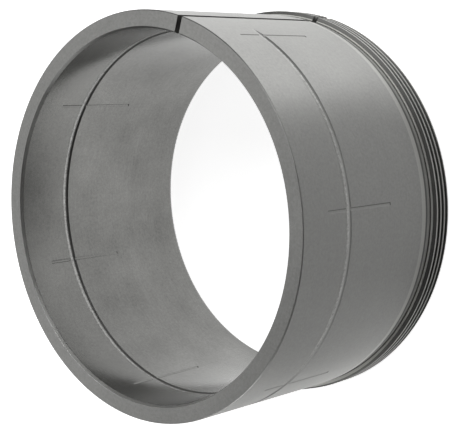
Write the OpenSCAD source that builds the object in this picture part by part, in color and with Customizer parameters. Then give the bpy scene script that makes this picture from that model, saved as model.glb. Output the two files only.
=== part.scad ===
// Withdrawal sleeve: a split steel ring with a straight bore, a slow outer taper,
// a trapezoidal thread on its thick end, and oil grooves inside and outside.
// Lengths are millimetres. The sleeve stands on its threaded end with its axis on Z,
// and the slit faces +Y.

/* [Body] */
// Diameter of the bore that fits the shaft
bore_d = 220; // [180:0.5:260]
// Thickness of the wall at the thin end
thin_wall = 10.5; // [8:0.1:12]
// Overall length along the axis
length = 137; // [110:1:180]
// Axial length over which the outside diameter grows by one unit
taper_ratio = 30; // [25:1:60]
// Width of the slit through the wall
slit_w = 3.5; // [2:0.5:8]

/* [Threaded end] */
// Height of the thread's crests above the bore's wall
thread_wall = 15; // [14:0.1:20]
// Axial distance from crest to crest
thread_pitch = 4; // [3:0.5:5]
// Axial length of the threaded part
thread_len = 16; // [10:0.5:24]
// Depth of the thread, from crest to root
thread_depth = 2.25; // [1.5:0.05:2.5]
// Width of the flat on a crest
crest_w = 1.4; // [1:0.1:1.6]
// Angle of each flank to a plane square to the axis
flank_angle = 15; // [10:1:20]
// Height of the first thread groove above the end face
thread_start = 3.7; // [3.4:0.1:5]
// Width of the relief between the thread and the taper
relief_w = 3.3; // [3:0.1:6]
// Thickness of the wall under the relief
relief_wall = 11.5; // [10:0.1:12.5]

/* [Edges] */
// Radial size of the chamfer at each mouth of the bore
mouth_chamfer = 1; // [0.5:0.1:2]
// Axial length of the chamfer at each mouth of the bore
mouth_len = 2; // [0.5:0.1:4]
// Chamfer on the outer corner of the thin end
nose_chamfer = 0.5; // [0.2:0.1:1.5]
// Chamfer on the outer corner of the threaded end
tail_chamfer = 1.6; // [0.5:0.1:2.5]
// Axial length of the eased land where the taper ends
land_len = 7; // [3:0.5:12]
// Radial drop of the eased land
land_drop = 0.4; // [0.1:0.1:1]

/* [Oil grooves] */
// Distance from the thin end to the ring groove outside
outer_groove_at = 39.1; // [30:0.1:48]
// Distance from the thin end to the ring groove in the bore
inner_groove_at = 36.8; // [30:0.1:48]
// Width of the ring grooves
groove_w = 4.6; // [2:0.1:6]
// Depth of the ring grooves
groove_depth = 0.7; // [0.3:0.1:1.5]
// Angle left plain between the slit and each end of a ring groove
groove_gap = 9.5; // [5:0.5:11]
// Number of short grooves across each ring groove
cross_count = 7; // [3:1:12]
// Angle between the slit and the first cross groove
cross_first = 13.5; // [12:0.5:40]
// Angle by which the cross grooves in the bore are turned from those outside
cross_turn = 1.7; // [0:0.1:2]
// Distance that the cross grooves reach from a ring groove towards the thin end
cross_ahead = 18; // [8:0.5:24]
// Length of the cross grooves
cross_len = 57.5; // [30:0.5:70]
// Width of the cross grooves
cross_w = 2; // [1:0.1:3]
// Depth of the cross grooves
cross_depth = 0.3; // [0.2:0.05:0.8]

/* [Oil ports] */
// Drilled diameter of the port in the threaded end face
port_d = 7; // [4:0.5:8]
// Depth of the port
port_len = 14; // [8:1:20]
// Diameter of the ducts from the ports to the ring grooves
duct_d = 3; // [2:0.5:3.4]
// Angle of each port from the point opposite the slit
port_angle = 36; // [6:1:80]

/* [Hidden] */
$fn = 120;

steel = [0.45, 0.45, 0.44];
slit_angle = 90;
clear = 0.5;

bore_r = bore_d / 2;
small_r = bore_r + thin_wall;
thread_r = bore_r + thread_wall;
relief_r = bore_r + relief_wall;
root_r = thread_r - thread_depth;

taper_end_z = thread_len + relief_w;
land_z = taper_end_z + land_len;
slope = 1 / (2 * taper_ratio);
slope_angle = atan(slope);

thread_grooves = floor((thread_len - thread_start) / thread_pitch) + 1;
groove_round_r = round_of(groove_w, groove_depth);
cross_round_r = round_of(cross_w, cross_depth);
cross_step = (360 - 2 * cross_first) / (cross_count - 1);

port_r = (bore_r + root_r) / 2;
port_sink = 0.8;
feed_d = duct_d - 0.5;

// Radius of a round bottom from a groove's width and depth
function round_of(w, d) = (w * w / 4 + d * d) / (2 * d);

// Radius of the outer taper at a height above the threaded end face
function taper_r(z) = small_r + (length - z) * slope;

// Half the width of a thread groove at a radius
function thread_half(r) = (thread_pitch - crest_w) / 2 - (thread_r - r) * tan(flank_angle);

// Half section of the sleeve before it is threaded, grooved and split
module section() {
    polygon([
        [bore_r + mouth_chamfer, 0],
        [thread_r - tail_chamfer, 0],
        [thread_r, tail_chamfer],
        [thread_r, thread_len],
        [relief_r, thread_len],
        [relief_r, taper_end_z],
        [taper_r(land_z) - land_drop, taper_end_z],
        [taper_r(land_z), land_z],
        [taper_r(length - nose_chamfer), length - nose_chamfer],
        [small_r - nose_chamfer, length],
        [bore_r + mouth_chamfer, length],
        [bore_r, length - mouth_len],
        [bore_r, mouth_len]
    ]);
}

// The thread's true section, drawn as rings one pitch apart. The lead is left out.
module thread_cut() {
    top_r = thread_r + clear;
    for (i = [0 : thread_grooves - 1])
        translate([0, 0, thread_start + i * thread_pitch])
            rotate_extrude()
                polygon([
                    [root_r, -thread_half(root_r)],
                    [top_r, -thread_half(top_r)],
                    [top_r, thread_half(top_r)],
                    [root_r, thread_half(root_r)]
                ]);
}

// Cut through the wall along the whole length, which lets the sleeve close on its shaft
module slit_cut() {
    translate([-slit_w / 2, bore_r / 2, -clear])
        cube([slit_w, thread_r, length + 2 * clear]);
}

// Round-bottomed groove that stops at an angle from the slit on both sides
module ring_groove(centre_r, z, gap) {
    rotate([0, 0, slit_angle + gap])
        translate([0, 0, z])
            rotate_extrude(angle = 360 - 2 * gap)
                translate([centre_r, 0])
                    circle(r = groove_round_r);
}

// Ring groove outside, which runs out of the wall along the tangent at each end
module outer_ring_groove(centre_r, z) {
    run_len = sqrt(2 * centre_r * groove_depth);
    gap = groove_gap + atan(run_len / centre_r);
    ring_groove(centre_r, z, gap);
    for (side = [-1, 1])
        rotate([0, 0, slit_angle + side * gap])
            translate([centre_r, 0, z])
                rotate([90 * side, 0, 0])
                    translate([0, 0, -2 * clear])
                        cylinder(r = groove_round_r, h = run_len + 3 * clear);
}

// Runs its children at the angle of each cross groove
module at_cross_angles(turn = 0) {
    for (i = [0 : cross_count - 1])
        rotate([0, 0, slit_angle + cross_first + i * cross_step + turn])
            children();
}

// Short groove along the taper that spreads the oil from the ring groove outside
module outer_cross_groove() {
    z = length - outer_groove_at + cross_ahead;
    translate([taper_r(z), 0, z])
        rotate([0, -slope_angle, 0])
            translate([cross_round_r - cross_depth, 0, -cross_len])
                cylinder(r = cross_round_r, h = cross_len);
}

// Short groove along the bore that spreads the oil from the ring groove inside
module inner_cross_groove() {
    z = length - inner_groove_at + cross_ahead;
    translate([bore_r - cross_round_r + cross_depth, 0, z - cross_len])
        cylinder(r = cross_round_r, h = cross_len);
}

// Port in the threaded end face with its duct up the wall to a ring groove
module port_cut(groove_z) {
    translate([port_r, 0, -clear])
        cylinder(d = port_d, h = port_len + clear);
    translate([port_r, 0, -clear])
        cylinder(d1 = port_d + 2 * (port_sink + clear), d2 = port_d, h = port_sink + clear);
    translate([port_r, 0, port_len - clear])
        cylinder(d = duct_d, h = groove_z - port_len + duct_d + clear);
}

// Drilling from the top of a duct out to the ring groove outside
module outer_feed(groove_z) {
    translate([port_r, 0, groove_z])
        rotate([0, 90, 0])
            cylinder(d = feed_d, h = taper_r(groove_z) - port_r + clear);
}

// Drilling from the top of a duct in to the ring groove of the bore
module inner_feed(groove_z) {
    translate([bore_r - clear, 0, groove_z])
        rotate([0, 90, 0])
            cylinder(d = feed_d, h = port_r - bore_r + clear);
}

// The oil ports lie on both sides of the point opposite the slit, one for each ring groove
module oil_ways() {
    outer_z = length - outer_groove_at;
    inner_z = length - inner_groove_at;
    rotate([0, 0, slit_angle + 180 - port_angle]) {
        port_cut(outer_z);
        outer_feed(outer_z);
    }
    rotate([0, 0, slit_angle + 180 + port_angle]) {
        port_cut(inner_z);
        inner_feed(inner_z);
    }
}

module sleeve() {
    outer_z = length - outer_groove_at;
    round_out = groove_round_r - groove_depth;
    color(steel)
        difference() {
            rotate_extrude() section();
            thread_cut();
            outer_ring_groove(taper_r(outer_z) + round_out, outer_z);
            ring_groove(bore_r - round_out, length - inner_groove_at, groove_gap);
            at_cross_angles() outer_cross_groove();
            at_cross_angles(cross_turn) inner_cross_groove();
            oil_ways();
            slit_cut();
        }
}

sleeve();
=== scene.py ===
import math

import bpy
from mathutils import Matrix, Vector


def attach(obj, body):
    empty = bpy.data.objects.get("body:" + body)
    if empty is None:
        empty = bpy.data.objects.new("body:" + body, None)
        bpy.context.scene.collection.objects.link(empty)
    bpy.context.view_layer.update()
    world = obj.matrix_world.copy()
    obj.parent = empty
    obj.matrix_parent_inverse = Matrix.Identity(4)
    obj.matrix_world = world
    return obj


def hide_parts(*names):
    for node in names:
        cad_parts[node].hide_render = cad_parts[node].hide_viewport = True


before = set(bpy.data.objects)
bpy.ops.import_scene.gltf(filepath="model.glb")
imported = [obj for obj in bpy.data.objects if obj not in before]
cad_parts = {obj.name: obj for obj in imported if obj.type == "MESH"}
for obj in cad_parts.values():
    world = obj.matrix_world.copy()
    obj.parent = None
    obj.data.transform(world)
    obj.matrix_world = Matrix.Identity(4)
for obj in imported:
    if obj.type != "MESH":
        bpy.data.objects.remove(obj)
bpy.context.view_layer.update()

MM = 0.001
SEGMENTS = 288

# Sizes in millimetres, as in the solids
BORE_R = 110.0
SMALL_R = 120.5
LENGTH = 137.0
SLOPE = 1 / 60
SLIT_W = 3.5
SLIT_ANGLE = 90.0
MOUTH_CHAMFER = 1.0
MOUTH_LEN = 2.0
NOSE_CHAMFER = 0.5
TAIL_CHAMFER = 1.6
CORNER_R = 0.15
THREAD_R = 125.0
ROOT_R = 122.75
PITCH = 4.0
THREAD_TURNS = 6
RUN_OUT_ANGLE = 198.5
CREST_W = 1.4
FLANK = math.tan(math.radians(15))
THREAD_LEN = 16.0
RELIEF_R = 121.5
TAPER_END_Z = 19.3
RUN_OUT_Z = (THREAD_LEN + TAPER_END_Z) / 2
LAND_LEN = 7.0
LAND_Z = TAPER_END_Z + LAND_LEN
LAND_DROP = 0.4
GROOVE_W = 4.6
GROOVE_DEPTH = 0.7
GROOVE_GAP = 9.5
OUTER_GROOVE_Z = LENGTH - 39.1
INNER_GROOVE_Z = LENGTH - 36.8
CROSS_COUNT = 7
CROSS_FIRST = 13.5
CROSS_TURN = 1.7
CROSS_AHEAD = 18.0
CROSS_LEN = 57.5
CROSS_W = 2.0
CROSS_DEPTH = 0.3
PORT_R = (BORE_R + ROOT_R) / 2
PORT_ANGLE = 36.0
PORT_HOLE_R = 3.5
PORT_LEN = 14.0
PORT_SINK = 0.8
DUCT_R = 1.5
FEED_R = 1.25
CLEAR = 0.5


def taper_r(z):
    """Radius of the outer taper at a height above the threaded end face."""
    return SMALL_R + (LENGTH - z) * SLOPE


def polar(r, degrees, z):
    """A point in metres from a radius, an angle and a height in millimetres."""
    a = math.radians(degrees)
    return (r * MM * math.cos(a), r * MM * math.sin(a), z * MM)


# Modelling steps, each one as by hand

def clear_selection():
    bpy.ops.object.select_all(action="DESELECT")


def edit(obj):
    clear_selection()
    obj.select_set(True)
    bpy.context.view_layer.objects.active = obj
    bpy.ops.object.mode_set(mode="EDIT")


def leave_edit():
    bpy.ops.object.mode_set(mode="OBJECT")


def apply_place(obj):
    clear_selection()
    obj.select_set(True)
    bpy.context.view_layer.objects.active = obj
    bpy.ops.object.transform_apply(location=True, rotation=True, scale=True)


def close_up(obj):
    """Merges doubles, fills open ends and turns the faces outwards."""
    edit(obj)
    bpy.ops.mesh.select_all(action="SELECT")
    bpy.ops.mesh.remove_doubles(threshold=1e-5)
    bpy.ops.mesh.select_all(action="DESELECT")
    bpy.ops.mesh.select_non_manifold()
    bpy.ops.mesh.fill_holes(sides=0)
    bpy.ops.mesh.select_all(action="SELECT")
    bpy.ops.mesh.normals_make_consistent(inside=False)
    leave_edit()


def trace(name, points, angle=0.0, edge_radius=0.0):
    """A closed wire section of (radius, height) corners, drawn point by point at an angle."""
    clear_selection()
    corners = [polar(r, angle, z) for r, z in points]
    bpy.ops.mesh.primitive_plane_add(size=MM, location=corners[0])
    obj = bpy.context.object
    obj.name = name
    apply_place(obj)
    edit(obj)
    bpy.ops.mesh.select_all(action="SELECT")
    bpy.ops.mesh.merge(type="CENTER")
    for here, there in zip(corners, corners[1:] + corners[:1]):
        step = tuple(b - a for a, b in zip(here, there))
        bpy.ops.mesh.extrude_region_move(TRANSFORM_OT_translate={"value": step})
    bpy.ops.mesh.select_all(action="SELECT")
    bpy.ops.mesh.remove_doubles(threshold=1e-5)
    if edge_radius:
        bpy.ops.mesh.select_all(action="SELECT")
        bpy.ops.mesh.bevel(offset=edge_radius * MM, segments=2, affect="VERTICES")
    leave_edit()
    return obj


def spin(obj, degrees, steps, centre=(0, 0, 0), axis=(0, 0, -1)):
    """Turns a section about an axis into a closed shape."""
    edit(obj)
    bpy.ops.mesh.select_all(action="SELECT")
    bpy.ops.mesh.spin(
        steps=steps,
        angle=math.radians(degrees),
        center=centre,
        axis=axis,
        use_auto_merge=False,
    )
    leave_edit()
    close_up(obj)


def cut(obj, cutter):
    """Takes the cutter's shape out of the object."""
    clear_selection()
    obj.select_set(True)
    bpy.context.view_layer.objects.active = obj
    boolean = obj.modifiers.new("cut", "BOOLEAN")
    boolean.operation = "DIFFERENCE"
    boolean.solver = "EXACT"
    boolean.object = cutter
    bpy.ops.object.modifier_apply(modifier=boolean.name)
    bpy.data.objects.remove(cutter, do_unlink=True)


# The turned blank, with every corner eased a little
sleeve = trace(
    "sleeve_steel",
    [
        (BORE_R + MOUTH_CHAMFER, 0),
        (THREAD_R - TAIL_CHAMFER, 0),
        (THREAD_R, TAIL_CHAMFER),
        (THREAD_R, THREAD_LEN),
        (RELIEF_R, THREAD_LEN),
        (RELIEF_R, TAPER_END_Z),
        (taper_r(LAND_Z) - LAND_DROP, TAPER_END_Z),
        (taper_r(LAND_Z), LAND_Z),
        (taper_r(LENGTH - NOSE_CHAMFER), LENGTH - NOSE_CHAMFER),
        (SMALL_R - NOSE_CHAMFER, LENGTH),
        (BORE_R + MOUTH_CHAMFER, LENGTH),
        (BORE_R, LENGTH - MOUTH_LEN),
        (BORE_R, MOUTH_LEN),
    ],
    edge_radius=CORNER_R,
)
spin(sleeve, 360, SEGMENTS)


# The thread's groove: one section, turned into a right-hand helix that runs out in the relief
def half_width(r):
    """Half the width of the thread's groove at a radius."""
    return (PITCH - CREST_W) / 2 - (THREAD_R - r) * FLANK


start_z = RUN_OUT_Z - THREAD_TURNS * PITCH
top_r = THREAD_R + CLEAR
helix = trace(
    "thread_groove",
    [
        (ROOT_R, start_z - half_width(ROOT_R)),
        (top_r, start_z - half_width(top_r)),
        (top_r, start_z + half_width(top_r)),
        (ROOT_R, start_z + half_width(ROOT_R)),
    ],
    angle=RUN_OUT_ANGLE,
)
screw = helix.modifiers.new("helix", "SCREW")
screw.axis = "Z"
screw.angle = 2 * math.pi
screw.screw_offset = PITCH * MM
screw.iterations = THREAD_TURNS
screw.steps = screw.render_steps = SEGMENTS // 2
screw.use_merge_vertices = False
clear_selection()
helix.select_set(True)
bpy.context.view_layer.objects.active = helix
bpy.ops.object.modifier_apply(modifier=screw.name)
close_up(helix)
cut(sleeve, helix)


def round_of(width, depth):
    """Radius of a round bottom from a groove's width and depth."""
    return (width**2 / 4 + depth**2) / (2 * depth)


# Ring grooves: a round section swept past the slit's far side. The one outside runs out of
# the wall along the tangent at each end.
round_r = round_of(GROOVE_W, GROOVE_DEPTH)
round_out = round_r - GROOVE_DEPTH
for outside in (True, False):
    z = OUTER_GROOVE_Z if outside else INNER_GROOVE_Z
    centre_r = taper_r(z) + round_out if outside else BORE_R - round_out
    run = math.sqrt(2 * centre_r * GROOVE_DEPTH)
    run_angle = math.degrees(math.atan(run / centre_r)) if outside else 0.0
    gap = GROOVE_GAP + run_angle
    clear_selection()
    bpy.ops.mesh.primitive_circle_add(
        vertices=64,
        radius=round_r * MM,
        location=polar(centre_r, SLIT_ANGLE + gap, z),
        rotation=(math.pi / 2, 0, math.radians(SLIT_ANGLE + gap)),
    )
    ring = bpy.context.object
    apply_place(ring)
    spin(ring, 360 - 2 * gap, SEGMENTS)
    cut(sleeve, ring)
    for side in (-1, 1) if outside else ():
        a = math.radians(SLIT_ANGLE + side * gap)
        x, y, up = polar(centre_r, SLIT_ANGLE + side * gap, z)
        middle = side * (run - CLEAR) / 2 * MM
        clear_selection()
        bpy.ops.mesh.primitive_cylinder_add(
            vertices=64,
            radius=round_r * MM,
            depth=(run + 3 * CLEAR) * MM,
            location=(x + middle * math.sin(a), y - middle * math.cos(a), up),
            rotation=(math.pi / 2, 0, a),
        )
        rod = bpy.context.object
        apply_place(rod)
        cut(sleeve, rod)

# Cross grooves: a thin rod sunk a little into the wall, again and again round the axis
cross_step = (360 - 2 * CROSS_FIRST) / (CROSS_COUNT - 1)
rod_r = round_of(CROSS_W, CROSS_DEPTH)
for outside in (True, False):
    for i in range(CROSS_COUNT):
        angle = SLIT_ANGLE + CROSS_FIRST + i * cross_step
        if outside:
            z = OUTER_GROOVE_Z + CROSS_AHEAD - CROSS_LEN / 2
            r = taper_r(z) + rod_r - CROSS_DEPTH
            tilt = -math.atan(SLOPE)
        else:
            angle += CROSS_TURN
            z = INNER_GROOVE_Z + CROSS_AHEAD - CROSS_LEN / 2
            r = BORE_R - rod_r + CROSS_DEPTH
            tilt = 0.0
        clear_selection()
        bpy.ops.mesh.primitive_cylinder_add(
            vertices=48,
            radius=rod_r * MM,
            depth=CROSS_LEN * MM,
            location=polar(r, angle, z),
            rotation=(0, tilt, math.radians(angle)),
        )
        rod = bpy.context.object
        apply_place(rod)
        cut(sleeve, rod)

# Oil ports in the threaded end face, each with its duct and the drilling into its ring groove
for outward in (True, False):
    groove_z = OUTER_GROOVE_Z if outward else INNER_GROOVE_Z
    angle = SLIT_ANGLE + 180 + (-PORT_ANGLE if outward else PORT_ANGLE)
    x, y, _ = polar(PORT_R, angle, 0)
    port = trace(
        "port",
        [
            (PORT_R, -CLEAR),
            (PORT_R + PORT_HOLE_R + PORT_SINK + CLEAR, -CLEAR),
            (PORT_R + PORT_HOLE_R, PORT_SINK),
            (PORT_R + PORT_HOLE_R, PORT_LEN + DUCT_R - PORT_HOLE_R),
            (PORT_R + DUCT_R, PORT_LEN),
            (PORT_R + DUCT_R, groove_z + 2),
            (PORT_R, groove_z + 2 * DUCT_R),
        ],
        angle=angle,
    )
    spin(port, 360, 32, centre=(x, y, 0))
    cut(sleeve, port)
    inner = PORT_R if outward else BORE_R - CLEAR
    outer = taper_r(groove_z) + CLEAR if outward else PORT_R
    clear_selection()
    bpy.ops.mesh.primitive_cylinder_add(
        vertices=24,
        radius=FEED_R * MM,
        depth=(outer - inner) * MM,
        location=polar((inner + outer) / 2, angle, groove_z),
        rotation=(0, math.pi / 2, math.radians(angle)),
    )
    drilling = bpy.context.object
    apply_place(drilling)
    cut(sleeve, drilling)

# The slit, sawn through the wall along the whole length
clear_selection()
bpy.ops.mesh.primitive_cube_add(
    size=1,
    location=polar(BORE_R + 8, SLIT_ANGLE, LENGTH / 2),
    rotation=(0, 0, math.radians(SLIT_ANGLE)),
    scale=(40 * MM, SLIT_W * MM, (LENGTH + 4) * MM),
)
saw = bpy.context.object
apply_place(saw)
cut(sleeve, saw)

edit(sleeve)
bpy.ops.mesh.select_all(action="SELECT")
bpy.ops.mesh.remove_doubles(threshold=1e-7)
bpy.ops.mesh.normals_make_consistent(inside=False)
leave_edit()
clear_selection()
sleeve.select_set(True)
bpy.context.view_layer.objects.active = sleeve
bpy.ops.object.shade_smooth_by_angle(angle=math.radians(25))
even = sleeve.modifiers.new("even_shading", "WEIGHTED_NORMAL")
even.keep_sharp = True
bpy.ops.object.modifier_apply(modifier=even.name)

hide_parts("sleeve")
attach(sleeve, "root")


# Materials

def linear(code):
    """A hex sRGB colour as linear RGBA."""
    values = [int(code[i : i + 2], 16) / 255 for i in (1, 3, 5)]
    bent = [v / 12.92 if v <= 0.04045 else ((v + 0.055) / 1.055) ** 2.4 for v in values]
    return bent + [1.0]


def new_material(name):
    material = bpy.data.materials.new(name)
    material.use_nodes = True
    tree = material.node_tree
    return material, tree, tree.nodes["Principled BSDF"]


def add(tree, kind, inputs=None, **options):
    """Adds a node, sets its options and fills its inputs from sockets or plain values."""
    made = tree.nodes.new("ShaderNode" + kind)
    for name, value in options.items():
        setattr(made, name, value)
    for key, value in (inputs or {}).items():
        if isinstance(value, bpy.types.NodeSocket):
            tree.links.new(value, made.inputs[key])
        else:
            made.inputs[key].default_value = value
    return made


# Steel's patterns: their sizes, and how far they change the roughness
LINE_MM = 0.5
LINE_SQUEEZE = 40.0
GRAIN_MM = 1.6
CLOUD_MM = 34.0
CLOUD_ROUGH = 0.12
LINE_ROUGH = 0.10


def steel(
    name, colour, roughness, metallic, dark=None, face=False, spread=0.9, grain=0.10, clouds=0.10
):
    """Turned or ground steel: fine lines round the axis, a fine grain and slow changes of shade.

    The lines follow the lathe: round the axis on walls, and in circles on the end faces."""
    material, tree, shader = new_material(name)
    place = add(tree, "TexCoord").outputs["Object"]
    x, y, z = add(tree, "SeparateXYZ", {0: place}).outputs
    flat = add(tree, "CombineXYZ", {0: x, 1: y}).outputs[0]
    r = add(tree, "VectorMath", {0: flat}, operation="LENGTH").outputs["Value"]

    # Noise squeezed across the lathe's direction draws out into lines. Real ones are about
    # 0.05 mm apart, too fine to show here, so they are drawn ten times coarser.
    across = add(tree, "Math", {0: r, 1: z}, operation="ADD").outputs[0]
    across = add(tree, "Math", {0: across, 1: LINE_SQUEEZE}, operation="MULTIPLY").outputs[0]
    lathe = add(tree, "CombineXYZ", {0: x, 1: y, 2: across}).outputs[0]
    lines = add(
        tree,
        "TexNoise",
        {
            "Vector": lathe,
            "Scale": 1 / (LINE_SQUEEZE * LINE_MM * MM),
            "Detail": 3.0,
            "Roughness": 0.6,
        },
    ).outputs["Fac"]
    fine = add(
        tree,
        "TexNoise",
        {"Vector": place, "Scale": 1 / (GRAIN_MM * MM), "Detail": 4.0, "Roughness": 0.65},
    ).outputs["Fac"]
    slow = add(
        tree,
        "TexNoise",
        {"Vector": place, "Scale": 1 / (CLOUD_MM * MM), "Detail": 3.0, "Roughness": 0.5},
    ).outputs["Fac"]

    # Each noise is 0.5 on average, so half of every weight comes off to keep the mean shade at 1
    mean = 1.0 - grain - clouds - grain / 2
    shade = add(
        tree, "Math", {0: fine, 1: 2 * grain, 2: mean}, operation="MULTIPLY_ADD"
    ).outputs[0]
    shade = add(
        tree, "Math", {0: slow, 1: 2 * clouds, 2: shade}, operation="MULTIPLY_ADD"
    ).outputs[0]
    shade = add(
        tree, "Math", {0: lines, 1: grain, 2: shade}, operation="MULTIPLY_ADD"
    ).outputs[0]
    # Painted light and shade, where given, scale the colour's shade
    if dark:
        painted_light_and_shade = dark(tree, y, z, r)
        shade = add(tree, "Math", {0: shade, 1: painted_light_and_shade}, operation="MULTIPLY").outputs[0]
    base = linear(colour)[:3]
    tinted = add(tree, "VectorMath", {0: base, "Scale": shade}, operation="SCALE").outputs[0]
    tree.links.new(tinted, shader.inputs["Base Color"])

    smooth = roughness - (CLOUD_ROUGH + LINE_ROUGH) / 2
    rough = add(
        tree, "Math", {0: slow, 1: CLOUD_ROUGH, 2: smooth}, operation="MULTIPLY_ADD"
    ).outputs[0]
    rough = add(
        tree, "Math", {0: lines, 1: LINE_ROUGH, 2: rough}, operation="MULTIPLY_ADD"
    ).outputs[0]
    tree.links.new(rough, shader.inputs["Roughness"])
    shader.inputs["Metallic"].default_value = metallic
    shader.inputs["Anisotropic"].default_value = spread
    square = {0: x, 1: y} if face else {2: 1.0}
    tree.links.new(add(tree, "CombineXYZ", square).outputs[0], shader.inputs["Tangent"])
    raised = add(
        tree, "Bump", {"Height": lines, "Strength": 0.15, "Distance": 0.02 * MM}
    ).outputs[0]
    tree.links.new(raised, shader.inputs["Normal"])
    return material


def thread_painted_light_and_shade(tree, y, z, r):
    """Painted shade that darkens the thread's roots and flanks, and painted light and shade that
    draw lines along the relief.
    """
    root = add(tree, "MapRange", {0: z, 1: 0.0134, 2: 0.0138, 3: 0.4, 4: 2.4}).outputs[0]
    height = add(tree, "MapRange", {0: r, 1: 0.1226, 2: 0.1249, 3: root, 4: 1.3}).outputs[0]
    up_floor = add(tree, "MapRange", {0: z, 1: 0.016, 2: 0.0226}).outputs[0]
    up_wall = add(tree, "MapRange", {0: r, 1: 0.1215, 2: 0.125}).outputs[0]
    floor_bands = add(tree, "ValToRGB", {0: up_floor})
    wall_bands = add(tree, "ValToRGB", {0: up_wall})
    # Painted light and painted shade bands along the relief floor and up the wall
    floor_levels = (
        (0, 0.15),
        (0.08, 0.2),
        (0.15, 0.65),
        (0.42, 0.65),
        (0.53, 0.35),
        (0.62, 0.35),
        (0.7, 0.16),
        (0.85, 0.16),
        (0.97, 0.57),
    )
    wall_levels = ((0, 0.12), (0.1, 0.12), (0.2, 1.0), (0.62, 1.0), (0.76, 0.13))
    for bands, levels in ((floor_bands, floor_levels), (wall_bands, wall_levels)):
        stops = bands.color_ramp.elements
        for stop, (at, level) in zip((stops[0], stops[-1]), (levels[0], levels[-1])):
            stop.position = at
            stop.color = (level, level, level, 1)
        for at, level in levels[1:-1]:
            stops.new(at).color = (level, level, level, 1)
    floor_level = add(
        tree, "Math", {0: floor_bands.outputs[0], 1: 2.0}, operation="MULTIPLY"
    ).outputs[0]
    wall_level = add(
        tree, "Math", {0: wall_bands.outputs[0], 1: 2.4}, operation="MULTIPLY"
    ).outputs[0]
    relief = add(tree, "MapRange", {0: z, 1: 0.01605, 2: 0.01625}).outputs[0]
    level = add(tree, "Mix", {0: relief, 2: height, 3: floor_level}).outputs[0]
    normal = add(tree, "NewGeometry").outputs["True Normal"]
    upright = add(tree, "SeparateXYZ", {0: normal}).outputs[2]
    # Painted light and shade by side: the upward-facing flank is lightest towards -y and darkest
    # in the middle
    top = add(tree, "MapRange", {0: y, 1: 0.085, 2: 0.12, 3: 0.26, 4: 0.4}).outputs[0]
    low = add(tree, "MapRange", {0: y, 1: -0.07, 2: 0.0, 3: 0.75, 4: 0.26}).outputs[0]
    painted_side_shading = add(tree, "Math", {0: top, 1: low}, operation="MAXIMUM").outputs[0]
    at_wall = add(tree, "MapRange", {0: z, 1: 0.0158, 2: 0.0159}).outputs[0]
    flank = add(tree, "Mix", {0: at_wall, 2: painted_side_shading, 3: wall_level}).outputs[0]
    facing_up = add(tree, "MapRange", {0: upright, 1: 0.3, 2: 0.8}).outputs[0]
    return add(tree, "Mix", {0: facing_up, 2: level, 3: flank}).outputs[0]


def groove_painted_shade_and_light(tree, y, z, r):
    """Painted shade on the far side of the ring grooves and on the eased edges.

    Outside, its strength changes with the side; at the bore's mouth it is painted light on one
    side and painted shade on the other."""
    painted_side_shading = add(tree, "MapRange", {0: y, 1: 0.07, 2: 0.112, 3: 1.2, 4: 0.32}).outputs[0]
    low = add(tree, "MapRange", {0: y, 1: -0.08, 2: -0.055, 3: 0.45, 4: 1.0}).outputs[0]
    outer = add(tree, "Math", {0: painted_side_shading, 1: low}, operation="MULTIPLY").outputs[0]
    mouth = add(tree, "MapRange", {0: y, 1: 0.02, 2: 0.045, 3: 1.7, 4: 0.6}).outputs[0]
    inner = add(tree, "MapRange", {0: z, 1: 0.13, 2: 0.134, 3: 0.6, 4: mouth}).outputs[0]
    outside = add(tree, "MapRange", {0: r, 1: 0.113, 2: 0.114}).outputs[0]
    return add(tree, "Mix", {0: outside, 2: inner, 3: outer}).outputs[0]


TAPER, FACE, BORE, THREAD, CUT_PAINTED_SHADE, LAND, GROOVE, PAINTED_SHADE = range(8)
sleeve.data.materials.clear()
for made in (
    # Ground taper: a satin grey whose light spreads in soft bands along the axis
    steel("satin_ground_steel", "#9C9C9A", 0.42, 1.0, spread=0.85, grain=0.2, clouds=0.15),
    # Turned end face: an even grey ring with a faint lathe grain that sets it off from the bore
    steel(
        "satin_turned_steel_face",
        "#91918F",
        0.45,
        1.0,
        face=True,
        spread=0.5,
        grain=0.25,
        clouds=0.15,
    ),
    # Honed bore: darker and smoother, so that it clouds over and brightens at a grazing view
    steel("satin_honed_steel_bore", "#757573", 0.20, 1.0, spread=0.5, grain=0.3, clouds=0.35),
    # Cut thread: light crest lines, painted a little lighter, between roots darkened by painted
    # shade
    steel("cut_steel_thread_with_painted_shade", "#9A9A97", 0.40, 0.6, spread=0.6, dark=thread_painted_light_and_shade),
    # Sawn and drilled cuts: painted shade, a dull dark line in the slit and in the short grooves
    # outside
    steel("sawn_steel_cuts_with_painted_shade", "#6A6A68", 0.5, 1.0, spread=0.0),
    # Land where the taper ends: a slightly brighter band of painted light, with a painted shade
    # line at its edge
    steel("ground_steel_land_with_painted_light", "#A6A6A3", 0.42, 1.0, spread=0.85, dark=thread_painted_light_and_shade),
    # Lit side of the grooves: a thin painted light line, broken up like beads by tool marks
    steel("turned_steel_groove", "#9E9E9C", 0.34, 0.9, spread=0.0, grain=1.0),
    # Far side of the ring grooves and the eased edges: a soft painted shade line
    steel("turned_steel_groove_with_painted_shade", "#9A9A98", 0.40, 0.8, spread=0.0, dark=groove_painted_shade_and_light),
):
    sleeve.data.materials.append(made)
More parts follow.
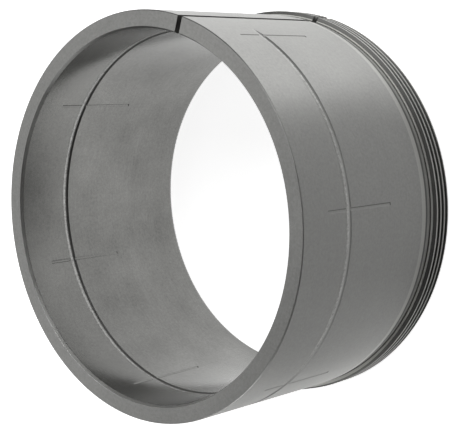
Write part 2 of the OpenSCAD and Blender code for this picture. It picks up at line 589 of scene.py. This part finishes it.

# Each face takes its finish from where it lies and which way it turns; on grooves, edges and cuts
# this picks painted light or painted shade
for face in sleeve.data.polygons:
    c = face.center / MM
    n = face.normal
    r = math.hypot(c.x, c.y)
    out = (n.x * c.x + n.y * c.y) / r
    turned = (n.y * c.x - n.x * c.y) / r
    inside = r < BORE_R + 0.8
    groove_z = INNER_GROOVE_Z if inside else OUTER_GROOVE_Z
    ring = abs(c.z - groove_z) < GROOVE_W / 2 + 0.05
    sunk = r > BORE_R + 0.02 if inside else r < taper_r(c.z) - 0.03
    along = abs(c.z - groove_z + 10) < 50
    if c.z < TAPER_END_Z + 0.1 and r > RELIEF_R - 0.2 and n.z > -0.9999:
        kind = THREAD
    # Eased edges at the end faces take painted shade
    elif abs(n.z) > 0.3 and (c.z < 2.1 or c.z > LENGTH - 2.1):
        kind = PAINTED_SHADE if abs(out) > 0.3 else FACE
    # Ring grooves: the flank facing up takes painted shade, the other side a painted light line
    elif abs(out) > 0.6 and ring and sunk:
        kind = PAINTED_SHADE if n.z > 0.2 else GROOVE
    # Cross grooves outside: one side takes painted shade, the other stays taper
    elif 0.6 < out and along and sunk and r > SMALL_R - 1 and c.z > LAND_Z:
        kind = CUT_PAINTED_SHADE if turned < -0.3 else TAPER
    elif r > SMALL_R - 0.2 and (out > 0.99 or (out > 0.6 and along)):
        kind = LAND if c.z < LAND_Z else TAPER
    elif inside and along and abs(n.z) > 0.9:
        kind = BORE
    elif inside and (out < -0.99 or (out < -0.6 and along)):
        kind = BORE
    else:
        kind = CUT_PAINTED_SHADE
    face.material_index = kind

# Floor, world and lamps

clear_selection()
bpy.ops.mesh.primitive_plane_add(size=8, location=(0, 0, 0))
floor = bpy.context.object
floor.name = "floor"
paper, tree, shader = new_material("white_paper")
shader.inputs["Base Color"].default_value = linear("#F0F0F0")
shader.inputs["Roughness"].default_value = 1.0
shader.inputs["Specular IOR Level"].default_value = 0.0
path = add(tree, "LightPath")
# The paper is white to the camera; in the steel it is a painted reflection that falls off towards
# the camera's side
place = add(tree, "TexCoord").outputs["Object"]
spot = add(tree, "SeparateXYZ", {0: place}).outputs
fall = add(tree, "Math", {0: spot[1], 1: -0.3, 2: spot[0]}, operation="MULTIPLY_ADD").outputs[0]
painted_reflection = add(
    tree,
    "MapRange",
    {0: fall, 1: 0.0, 2: 0.075, 3: 1.0, 4: 0.22},
    interpolation_type="SMOOTHSTEP",
).outputs[0]
# A painted pool of light on the paper close to the sleeve's lower side, which only the wall's
# reflection shows
away = add(tree, "VectorMath", {0: place}, operation="LENGTH").outputs["Value"]
painted_pool = add(tree, "MapRange", {0: away, 1: 0.122, 2: 0.2, 3: 0.75, 4: 0.0}).outputs[0]
around = add(tree, "Math", {0: away, 1: 0.118}, operation="GREATER_THAN").outputs[0]
below = add(tree, "MapRange", {0: spot[1], 1: -0.09, 2: -0.015}).outputs[0]
below = add(tree, "Math", {0: 1.0, 1: below}, operation="SUBTRACT").outputs[0]
painted_pool = add(tree, "Math", {0: painted_pool, 1: around}, operation="MULTIPLY").outputs[0]
painted_reflection = add(
    tree, "Math", {0: painted_pool, 1: below, 2: painted_reflection}, operation="MULTIPLY_ADD"
).outputs[0]
painted_reflection = add(
    tree, "Math", {0: painted_reflection, 1: path.outputs["Is Glossy Ray"]}, operation="MULTIPLY"
).outputs[0]
seen = add(
    tree, "Math", {0: path.outputs["Is Camera Ray"], 1: 0.82}, operation="MULTIPLY"
).outputs[0]
glow = add(tree, "Math", {0: seen, 1: painted_reflection}, operation="MAXIMUM").outputs[0]
shader.inputs["Emission Color"].default_value = (1, 1, 1, 1)
tree.links.new(glow, shader.inputs["Emission Strength"])
floor.data.materials.append(paper)

CAMERA_SIDE = (0.785, 0.366, 0.5)
world = bpy.data.worlds.new("studio")
bpy.context.scene.world = world
world.use_nodes = True
tree = world.node_tree
# White walls behind the sleeve and a dim room on the camera's side
towards = add(tree, "TexCoord").outputs["Generated"]
facing = add(
    tree, "VectorMath", {0: towards, 1: CAMERA_SIDE}, operation="DOT_PRODUCT"
).outputs["Value"]
walls = add(tree, "MapRange", {0: facing, 1: -0.3, 2: 0.6, 3: 0.1, 4: 0.006}).outputs[0]
tree.nodes["Background"].inputs["Color"].default_value = (1, 1, 1, 1)
tree.links.new(walls, tree.nodes["Background"].inputs["Strength"])


def softbox(name, azimuth, elevation, width, height, radiance):
    """An even lamp 1.6 m off that faces the sleeve's middle."""
    data = bpy.data.lights.new(name, "AREA")
    data.shape = "RECTANGLE"
    data.size = width
    data.size_y = height
    data.energy = radiance * math.pi * width * height
    lamp = bpy.data.objects.new(name, data)
    bpy.context.scene.collection.objects.link(lamp)
    a, e = math.radians(azimuth), math.radians(elevation)
    back = Vector((math.cos(e) * math.cos(a), math.cos(e) * math.sin(a), math.sin(e)))
    lamp.location = Vector((0, 0, 0.07)) + back * 1.6
    lamp.rotation_euler = back.to_track_quat("Z", "Y").to_euler()


softbox("key", 106, 45, 1.9, 1.0, 3.0)
softbox("back", 200, 35, 1.6, 1.3, 1.0)
softbox("fill", 278, 15, 0.9, 0.8, 3.4)
softbox("top", 0, 89, 0.9, 0.9, 1.2)

bpy.context.scene.view_settings.view_transform = "Standard"

# Camera at the photograph's viewing angle

camera_data = bpy.data.cameras.new("camera")
camera = bpy.data.objects.new("camera", camera_data)
bpy.context.scene.collection.objects.link(camera)
camera.location = (0.44742, 0.21082, 0.60471)
camera.rotation_euler = [math.radians(a) for a in (-6.1189, 39.3359, 16.0228)]
camera_data.sensor_fit = "HORIZONTAL"
camera_data.sensor_width = 36
camera_data.lens = 91.71
camera_data.shift_x = -0.1144
camera_data.shift_y = -0.0205
camera_data.clip_start = 0.01
camera_data.clip_end = 20
bpy.context.scene.camera = camera
